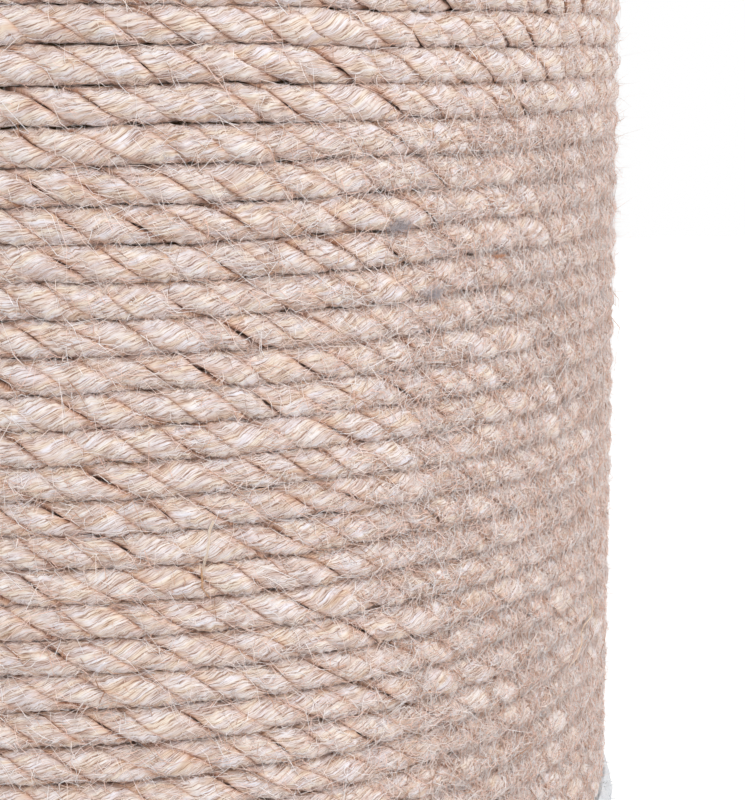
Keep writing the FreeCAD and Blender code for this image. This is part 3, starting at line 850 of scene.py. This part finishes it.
def scattered(first, last, count, rng, side=0.60, spread=0.19, rest=0.10):
    """Random turns between two, most of them on the side and at the height that is seen from near by."""
    turn = rng.uniform(first + BARE_END_TURNS, last - BARE_END_TURNS, 16 * count)
    near = np.exp(-(((turn % 1 - side) / spread) ** 4) - (turn / PICTURED_TURNS) ** 12)
    return turn[rng.uniform(0, 1, len(turn)) < rest + (1 - rest) * near][:count]


def over_winding(turn, ahead_by, level, first, last):
    """Point on the winding's soft outside, so far ahead of a turn and above it, and the way out there."""
    turn = np.clip(turn + ahead_by / length_per_turn, first, last)
    point, outwards, _, _ = wound(turn, first, last)
    phase = TURN * level / ROPE_PITCH
    point += outwards * (LOOSE_RADIUS - VALLEY_DEPTH * (0.5 - 0.5 * np.cos(phase)))[:, None]
    point[:, 2] += level
    outwards[:, 2] = VALLEY_DEPTH * math.pi / ROPE_PITCH * np.sin(phase)
    return point, unit(outwards)


def loose_fibres(winding, first, last, number, rng):
    """Long fibres that come loose: most bridge the grooves, the others stand out and curl back."""
    turn = scattered(first, last, number, rng)
    count = len(turn)
    level = rng.uniform(-0.5, 0.5, count) * ROPE_PITCH
    length = np.clip(rng.gamma(2.2, 2.3 * MM, count), 1.6 * MM, 16 * MM)
    way = rng.choice([-1.0, 1.0], count)
    lean = rng.normal(-0.3, 0.5, count)
    curl = rng.normal(0, 0.35, count)
    wave = rng.normal(0, 0.07, count)
    lies = rng.uniform(0, 1, count) < 0.7
    rise = np.abs(rng.normal(0.18, 0.22, count))
    fall = rise * rng.uniform(0.2, 1.1, count)
    arch = rng.uniform(0.0, 0.30, count) * MM
    bed = rng.uniform(-0.15, 0.12, count) * MM
    rows = []
    for share in np.linspace(0, 1, 4):
        ahead_by = length * (np.cos(lean) * share - curl * np.sin(lean) * share**2)
        up_by = length * (np.sin(lean) * share + curl * share**2 + wave * math.sin(TURN * share))
        point, out = over_winding(turn, way * ahead_by, level + way * up_by, first, last)
        free = length * (rise * share - fall * share**2)
        height = bed + np.where(lies, 4 * arch * share * (1 - share), free)
        rows.append(point + out * height[:, None])
    return rows, rng.uniform(0.040, 0.080, count) * MM


def matted_fibres(winding, first, last, number, rng):
    """Curly fibres that lie matted over the strands and grooves, where the post is seen from the side."""
    turn = scattered(first, last, number, rng, side=0.66, spread=0.085, rest=0.06)
    count = len(turn)
    level = rng.uniform(-0.5, 0.5, count) * ROPE_PITCH
    length = np.clip(rng.gamma(3.0, 1.2 * MM, count), 1.0 * MM, 7 * MM)
    lean = rng.uniform(0, TURN, count)
    curl = rng.normal(0, 1.0, count)
    wave = rng.normal(0, 0.18, count)
    arch = rng.uniform(0.0, 0.7, count) * MM
    bed = rng.uniform(-0.2, 0.15, count) * MM
    rows = []
    for share in np.linspace(0, 1, 4):
        along = length * share
        aside = length * (curl * share**2 + wave * math.sin(TURN * share))
        ahead_by = np.cos(lean) * along - np.sin(lean) * aside
        up_by = np.sin(lean) * along + np.cos(lean) * aside
        point, out = over_winding(turn, ahead_by, level + up_by, first, last)
        rows.append(point + out * (bed + 4 * arch * share * (1 - share))[:, None])
    return rows, rng.uniform(0.05, 0.095, count) * MM


def ring_at(turn, first):
    """Ring of a strand's mesh at this turn of its length."""
    return ((turn - first) * length_per_turn + lead_in) / RING_STEP


def on_strand(name, strand, ring, face):
    """Points on a strand's outer face at these rings and places across it, and the way out."""
    surface, centre = strand_faces[name, strand]
    column = np.interp(face, on_face, np.arange(len(on_face)))
    ring = np.clip(ring, 0, len(surface) - 1.001)
    row = ring.astype(int)
    part = (ring - row)[:, None]
    left = np.minimum(column.astype(int), len(on_face) - 2)
    share = (column - left)[:, None]
    first = surface[row, left] * (1 - share) + surface[row, left + 1] * share
    second = surface[row + 1, left] * (1 - share) + surface[row + 1, left + 1] * share
    point = first * (1 - part) + second * part
    return point, unit(point - centre[row] * (1 - part) - centre[row + 1] * part)


def laid_fibres(winding, first, last, number, rng):
    """Fibres that lie on the strands, nearly along the rope, from notch to notch."""
    strands = []
    for strand in range(STRANDS):
        turn = scattered(first, last, number // STRANDS, rng)
        count = len(turn)
        ring = ring_at(turn, first)
        length = np.clip(rng.gamma(5, 1.1 * MM, count), 2 * MM, 10 * MM)
        middle = rng.uniform(-0.9, 0.9, count)
        crossing = FIBRE_TURN * rng.normal(1.0, 0.12, count)
        bend = rng.normal(0, 0.12, count)
        arch = np.abs(rng.normal(0.0, 0.09, count)) * MM
        lift = np.maximum(rng.normal(-0.1, 0.35, count), 0) * MM
        hairs = []
        for share in np.linspace(0, 1, 5):
            ahead_by = length * (share - 0.5)
            around = middle - crossing * ahead_by + bend * 4 * share * (1 - share)
            across = np.sin(np.clip(around, -1.4, 1.4))
            point, out = on_strand(winding, strand, ring + ahead_by / RING_STEP, across)
            height = 0.02 * MM + arch * 4 * share * (1 - share) + lift * share**3
            hairs.append(point + out * height[:, None])
        strands.append(hairs)
    rows = np.concatenate(strands, axis=1)
    return rows, rng.uniform(0.030, 0.060, rows.shape[1]) * MM


def standing_fibres(winding, first, last, number, rng, mean_length, thinnest, parts, side):
    """Short ends of fibres that stand out of the strands all ways, and curl if they have a middle part."""
    strands = []
    for strand in range(STRANDS):
        turn = scattered(first, last, number // STRANDS, rng, *side)
        count = len(turn)
        root, out = on_strand(winding, strand, ring_at(turn, first), rng.uniform(-1, 1, count))
        length = np.clip(rng.gamma(2.4, mean_length / 2.4, count), 0.4 * MM, 4 * MM)[:, None]
        lean = rng.normal(size=(count, 3)) * 0.6
        curl = rng.normal(size=(count, 3)) * (0.45 if len(parts) > 2 else 0)
        hairs = [root + length * (part * (out * 0.4 + lean) + part * abs(part) * curl) for part in parts]
        strands.append(hairs)
    rows = np.concatenate(strands, axis=1)
    return rows, rng.uniform(thinnest, 0.055 * MM, rows.shape[1])


def short_fuzz(*where):
    return standing_fibres(*where, 1.9 * MM, 0.028 * MM, (-0.1, 0.45, 1.0), (0.61, 0.13))


def fine_down(*where):
    return standing_fibres(*where, 1.3 * MM, 0.030 * MM, (-0.1, 1.0), (0.68, 0.065))


loose_stops = (
    (0.0, 160, 112, 80), (0.08, 212, 168, 138), (0.24, 252, 215, 200),
    (0.50, 255, 240, 232), (0.80, 255, 247, 245), (1.0, 255, 251, 252),
)
loose_jute = hair_material("loose_jute_fibre", loose_stops, Roughness=0.6, Sheen_Weight=0.2)
fibre_kinds = (
    ("loose_fibres", loose_fibres, (11500, 11500), (5000,)),
    ("laid_fibres", laid_fibres, (8500,), (3000,)),
    ("fuzz", short_fuzz, (16500, 16500, 16500), (8000,)),
    ("down", fine_down, (43000, 43000), (12000,)),
    ("mat", matted_fibres, (12400, 12400, 12400, 12400), (5000,)),
)
for winding, (first, last) in rope_lengths.items():
    for kind, (word, make, lower_counts, upper_counts) in enumerate(fibre_kinds):
        counts = lower_counts if winding == "rope_lower_winding" else upper_counts
        for number, count in enumerate(counts):
            rng = np.random.default_rng(100 * (kind + 1) + number)
            rows, radius = make(winding, first, last, count, rng)
            hair_piece("%s_%s_%d" % (winding, word, number + 1), rows, radius, loose_jute, "jute_rope", rng)


# Strays on the rope
#
# What fresh jute rope brings along: a flat straw across two turns, one long pale fibre, two small knots of
# grey fluff and a scrap of rust-brown bark, all caught under the rope's own fibres.

STRAW_LINE = ((0.525, 234), (0.5235, 229.5), (0.522, 223))
STRAW_FOOT_LINE = ((0.522, 225.5), (0.522, 222.5), (0.5245, 220))
LONG_FIBRE_LINE = ((0.667, 203), (0.668, 199), (0.66, 196), (0.653, 193), (0.647, 191.5))


def nearest_turn(share, height):
    """Turn of the winding that passes nearest to a share of a turn at a height, and how far it lies below."""
    turn = share + np.round((height - first_turn) / ROPE_PITCH - share)
    return turn, height - first_turn - ROPE_PITCH * turn


def fibre_bundle(name, places, count, spread, radius, bed, material, seed):
    """Thin fibres side by side along a line on the winding through shares of a turn and heights in mm."""
    rng = np.random.default_rng(seed)
    part = np.linspace(0, len(places) - 1, 9)
    share, height = (np.interp(part, np.arange(len(places)), column) for column in zip(*places))
    turn, level = nearest_turn(share, height * MM)
    fibres = []
    for number in range(count):
        ahead_by = spread * (number - (count - 1) / 2)
        point, out = over_winding(turn, ahead_by, level, 0, 2 * LOOPS_PER_LENGTH)
        fibres.append(point + out * (bed + 0.1 * MM * number))
    hair_piece(name, np.swapaxes(fibres, 0, 1), np.full(count, radius), material, "jute_rope", rng)


def tangle(name, share, height, width, tall, count, radius, material, seed):
    """Knot of short curls round one place on the winding."""
    rng = np.random.default_rng(seed)
    turn, level = nearest_turn(share, height)
    root = rng.normal(size=(count, 2)) * (width / 4, tall / 4)
    way = rng.uniform(0, TURN, count)
    bend = rng.normal(0, 2.5, count)
    length = rng.uniform(0.3, 0.8, count) * tall
    bed = rng.uniform(0.1, 0.8, count) * MM
    rows = []
    for part in np.linspace(0, 1, 5):
        heading = way + bend * part
        ahead_by = root[:, 0] + length * part * np.cos(heading)
        up_by = root[:, 1] + length * part * np.sin(heading)
        point, out = over_winding(turn, ahead_by, level + up_by, 0, 2 * LOOPS_PER_LENGTH)
        rows.append(point + out * (bed + 0.2 * MM)[:, None])
    hair_piece(name, rows, np.full(count, radius), material, "jute_rope", rng)


def stray_material(name, dark, light):
    return hair_material(name, ((0.0, *dark), (1.0, *light)), Roughness=0.7)


straw = stray_material("straw", (240, 216, 194), (255, 246, 234))
straw_foot = stray_material("straw_foot", (196, 150, 112), (226, 186, 148))
fluff = stray_material("grey_fluff", (180, 170, 172), (228, 220, 224))
bark = stray_material("rust_bark", (204, 138, 98), (238, 182, 142))

# A bundle's numbers: its fibres, how far apart they lie, their radius, how high they lie, and its seed.
fibre_bundle("stray_straw", STRAW_LINE, 4, 0.10 * MM, 0.09 * MM, 0.25 * MM, straw, 91)
fibre_bundle("stray_straw_foot", STRAW_FOOT_LINE, 3, 0.10 * MM, 0.09 * MM, 0.2 * MM, straw_foot, 96)
fibre_bundle("stray_long_fibre", LONG_FIBRE_LINE, 2, 0.09 * MM, 0.10 * MM, 1.1 * MM, straw, 92)

# A knot's numbers: its share of a turn, height, width, tallness, curls, their radius, and its seed.
tangle("stray_fluff_1", 0.5749, 281.1 * MM, 4.6 * MM, 2.4 * MM, 170, 0.035 * MM, fluff, 93)
tangle("stray_fluff_2", 0.5864, 269.3 * MM, 3.6 * MM, 2.2 * MM, 130, 0.035 * MM, fluff, 94)
tangle("stray_bark", 0.6097, 273.9 * MM, 3.4 * MM, 0.8 * MM, 60, 0.06 * MM, bark, 95)


# Upper sleeve
#
# A band of the same plush above the rope, glued round the tube and butted in one seam at the back. Its lower
# edge is pressed down on the rope's last turn.

upper_low, upper_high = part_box("upper_sleeve")
upper_lead = -lead_step(1 - turn_shares)
wrap_sleeve("upper_plush_sleeve", "upper_sleeve", upper_high.z, upper_low.z, upper_lead, 70)


# Foam under the top cover
#
# A crowned disc of cut foam, cream and open-celled, glued on the top board. The cover is pulled down over it
# and draws it in at its rim.

FOAM_COLUMNS = 160
FOAM_FOOT_RADIUS = 123.3 * MM
FOAM_RIM_RADIUS = 124.7 * MM
FOAM_SHOULDER_RADIUS = 119.8 * MM
FOAM_RIM_HEIGHT = 12.0 * MM
MIDDLE_RADIUS = 2.0 * MM

foam_low, foam_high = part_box("top_foam")
foam_shoulder = foam_low.z + FOAM_RIM_HEIGHT


def foam_material():
    """Open-cell foam: cream, its cells small and uneven."""
    cut_foam = Finish("upholstery_foam", Roughness=0.9)
    cells = cut_foam.pattern("Voronoi", Scale=1100.0, Randomness=1.0)
    cream = ((0.05, 196, 182, 150), (0.4, 236, 226, 198), (0.7, 246, 238, 214))
    return cut_foam.grain(cells, "Distance", 0.4 * MM, 0.8, *cream)


def crown(rim, low, high, shares):
    """Radius and height of the rows over a crowned disc at these shares of the way from rim to middle."""
    rows = []
    for share in shares:
        radius = rim * (1 - share) + MIDDLE_RADIUS * share
        rows.append((radius, low + (high - low) * (1 - (radius / rim) ** 2)))
    return rows


def turned_rings(rows, columns, ripple=None):
    """Rings of points round the post's axis through rows of radius and height."""
    outwards = out_of_post(np.arange(columns) / columns * TURN)
    rings = []
    for index, (radius, height) in enumerate(rows):
        reach = radius + (np.zeros(columns) if ripple is None else ripple[index])
        rings.append(outwards * reach[:, None] + (0, 0, height))
    return np.concatenate(rings)


foam_rows = [(MIDDLE_RADIUS, foam_low.z)]
for share in np.linspace(0, 1, 12)[1:-1]:
    foam_rows.append((MIDDLE_RADIUS + (FOAM_FOOT_RADIUS - MIDDLE_RADIUS) * share, foam_low.z))
for share in np.linspace(0, 1, 14):
    bulge = (FOAM_RIM_RADIUS - FOAM_FOOT_RADIUS) * math.sin(math.pi * share)
    drawn_in = (FOAM_SHOULDER_RADIUS - FOAM_FOOT_RADIUS) * share**3
    foam_rows.append((FOAM_FOOT_RADIUS + drawn_in + bulge, foam_low.z + FOAM_RIM_HEIGHT * share))
foam_rows += crown(FOAM_SHOULDER_RADIUS, foam_shoulder, foam_high.z, np.linspace(0, 1, 24)[1:])
foam_faces = tube_faces(len(foam_rows), FOAM_COLUMNS)
foam = new_piece("foam_pad", turned_rings(foam_rows, FOAM_COLUMNS), foam_faces, foam_material(), "foam")
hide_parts("top_foam")


# Top cover
#
# A disc of plush drawn down over the foam and the board's edge. Its hem is gathered in small pleats under the
# board, and a ring of staples holds it.

TOP_COLUMNS = 600
TOP_CREASE = 2.0 * MM
TOP_HEM_INNER = 115.0 * MM
TOP_SIDE_RADIUS = 127.0 * MM
TOP_RIM_RADIUS = 130.8 * MM
TOP_SHOULDER_RADIUS = 123.8 * MM
TOP_SIDE_CLOTH = 1.7 * MM
PLEATS = 60
PLEAT_DEPTH = 0.55 * MM

top_low, top_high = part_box("top_cover")
board_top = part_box("top_board")[1].z


def lay_top_cover():
    """Rows of the cover's outside from hem to crown, with their pile and pleating, then of its inside."""
    rows = []
    shares = []
    pleating = []

    def row(radius, height, pile, pleat):
        rows.append((radius, height))
        shares.append(pile)
        pleating.append(pleat)

    crease = TOP_CREASE
    hem_width = TOP_SIDE_RADIUS - crease - TOP_HEM_INNER
    for share in np.linspace(0, 1, 8):
        row(TOP_HEM_INNER + hem_width * share, top_low.z, 0.2, 0.2 * share)
    for turn in np.linspace(0, TURN / 4, 5)[1:]:
        row(TOP_SIDE_RADIUS - crease * (1 - math.sin(turn)), top_low.z + crease * (1 - math.cos(turn)), 1, 1)
    side_low = top_low.z + crease
    rim = board_top + FOAM_RIM_HEIGHT / 2
    for share in np.linspace(0, 1, 18)[1:]:
        radius = TOP_SIDE_RADIUS + (TOP_RIM_RADIUS - TOP_SIDE_RADIUS) * share**2
        row(radius, side_low + (rim - side_low) * share, 1, max(0.0, 1 - 1.6 * share))
    shoulder = board_top + FOAM_RIM_HEIGHT + PLUSH_CLOTH
    for turn in np.linspace(0, TURN / 4, 10)[1:]:
        radius = TOP_SHOULDER_RADIUS + (TOP_RIM_RADIUS - TOP_SHOULDER_RADIUS) * math.cos(turn)
        row(radius, rim + (shoulder - rim) * math.sin(turn), 1, 0)
    for radius, height in crown(TOP_SHOULDER_RADIUS, shoulder, top_high.z, np.linspace(0, 1, 48)[1:]):
        row(radius, height, 1, 0)
    inside = crown(
        FOAM_SHOULDER_RADIUS, foam_shoulder + SEAT_GAP, foam_high.z + SEAT_GAP, np.linspace(1, 0, 12)[:-1]
    )
    inside += [
        (TOP_SHOULDER_RADIUS - 2 * MM, shoulder - PLUSH_CLOTH),
        (TOP_RIM_RADIUS - PLUSH_CLOTH, rim),
        (TOP_SIDE_RADIUS - TOP_SIDE_CLOTH, board_top),
        (TOP_SIDE_RADIUS - TOP_SIDE_CLOTH, top_low.z + HEM_CLOTH),
        (TOP_HEM_INNER, top_low.z + HEM_CLOTH),
    ]
    return rows, shares, pleating, inside


def cover_faces(outer_rows, inner_rows, columns):
    """Faces of a closed bowl of cloth: outside from hem to crown, then inside from crown to hem."""
    *outside, _, middle = tube_faces(outer_rows, columns)
    start = outer_rows * columns
    *inside, middle_inside, _ = [[start + i for i in face] for face in tube_faces(inner_rows, columns)]
    last = start + (inner_rows - 1) * columns
    hem = [[last + i, last + (i + 1) % columns, (i + 1) % columns, i] for i in range(columns)]
    return outside + inside + hem + [middle, middle_inside]


top_rows, top_shares, top_pleating, top_inside = lay_top_cover()
turn_angle = np.arange(TOP_COLUMNS) / TOP_COLUMNS * TURN
pleat_wave = np.cos(PLEATS * turn_angle + 1.3 * np.sin(3 * turn_angle) + 0.8 * np.sin(7 * turn_angle))
pleat_wave *= 0.7 + 0.3 * np.sin(5 * turn_angle + 1.0)
top_pleats = [PLEAT_DEPTH * pleat * pleat_wave for pleat in top_pleating]
outer = turned_rings(top_rows, TOP_COLUMNS, top_pleats)
inner = turned_rings(top_inside, TOP_COLUMNS)
top_faces = cover_faces(len(top_rows), len(top_inside), TOP_COLUMNS)
top_cover = new_piece("padded_top_cover", np.concatenate([outer, inner]), top_faces, plush, "plush")
top_pile = np.zeros(len(top_cover.data.vertices))
top_pile[: len(outer)] = np.repeat(np.array(top_shares, float), TOP_COLUMNS)
raise_pile(top_cover, top_pile, 5 * MM)
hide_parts("top_cover")
pile_tufts("padded_top_pile", top_cover, top_pile, count=10000, length=2.0 * MM, seed=80)


# Floor
#
# A plain pale sheet of studio paper under the post. It shows white to the camera where it is lit, and keeps a
# soft shadow.

FLOOR_HALF = 3.0
PAPER_GLOW = 0.45

floor_mesh = bpy.data.meshes.new("floor")
floor_corners = [(x * FLOOR_HALF, y * FLOOR_HALF, 0) for x, y in ((-1, -1), (1, -1), (1, 1), (-1, 1))]
floor_mesh.from_pydata(floor_corners, [], [(0, 1, 2, 3)])
floor = bpy.data.objects.new("floor", floor_mesh)
bpy.context.scene.collection.objects.link(floor)


def seen_directly(tree):
    """One for rays from the camera, and for those that metal and glass send on."""
    rays = tree.add("LightPath")
    first = tree.join(rays, "Is Camera Ray", tree.add("Math", operation="MAXIMUM"), 0)
    tree.join(rays, "Is Glossy Ray", first, 1)
    second = tree.join(first, "Value", tree.add("Math", operation="MAXIMUM"), 0)
    return tree.join(rays, "Is Transmission Ray", second, 1)


paper = Finish("studio_paper", Base_Color=(0.85, 0.85, 0.85, 1), Roughness=0.9)
glow_strength = paper.join(seen_directly(paper), "Value", paper.add("Math", operation="MULTIPLY"), 0)
glow_strength.inputs[1].default_value = PAPER_GLOW
glow = paper.join(glow_strength, "Value", paper.add("Emission", Color=(1, 1, 1, 1)), "Strength")
both = paper.join(paper.surface, "BSDF", paper.add("AddShader"), 0)
paper.join(glow, "Emission", both, 1)
paper.join(both, "Shader", paper.tree.nodes["Material Output"], "Surface")
floor_mesh.materials.append(paper.material)


# Light
#
# A bright tent all round the post, which lights it evenly. Two broad lamps shape the rope, one high on the
# left, the other lower and nearer on the right.

TENT_LIGHT = 0.735
LAMP_SIZE = 1.2

world = bpy.data.worlds.new("light_tent")
bpy.context.scene.world = world
world.use_nodes = True
tent = NodeTree(world.node_tree)
background = world.node_tree.nodes["Background"]
background.inputs["Color"].default_value = (1, 1, 1, 1)
brightness = tent.add("MapRange", To_Min=TENT_LIGHT, To_Max=1.0)
tent.join(seen_directly(tent), "Value", brightness, "Value")
tent.join(brightness, "Result", background, "Strength")


def lamp(name, place, watts):
    """Round soft lamp that is turned to the post."""
    light = bpy.data.lights.new(name, "AREA")
    light.shape = "DISK"
    light.size = LAMP_SIZE
    light.energy = watts
    holder = bpy.data.objects.new(name, light)
    holder.location = place
    holder.rotation_euler = (Vector((0, 0, 0.3)) - Vector(place)).to_track_quat("-Z", "Y").to_euler()
    bpy.context.scene.collection.objects.link(holder)


lamp("key_lamp", (-0.9, -1.6, 1.7), 14.4)
lamp("side_lamp", (1.7, -0.9, 1.1), 16.2)


# Camera
#
# Close in front of the post and a little above its middle. It is turned a little right and down, so that the
# post's lower right part fills the picture.

camera_data = bpy.data.cameras.new("camera")
camera_data.lens = 83.9
camera_data.clip_start = 0.01
camera = bpy.data.objects.new("camera", camera_data)
camera.location = (0, -0.4056, 0.3062)
camera.rotation_euler = Euler((math.radians(90 - 9.93), 0, math.radians(-8.30)))
bpy.context.scene.collection.objects.link(camera)
bpy.context.scene.camera = camera
bpy.context.scene.view_settings.view_transform = "Standard"
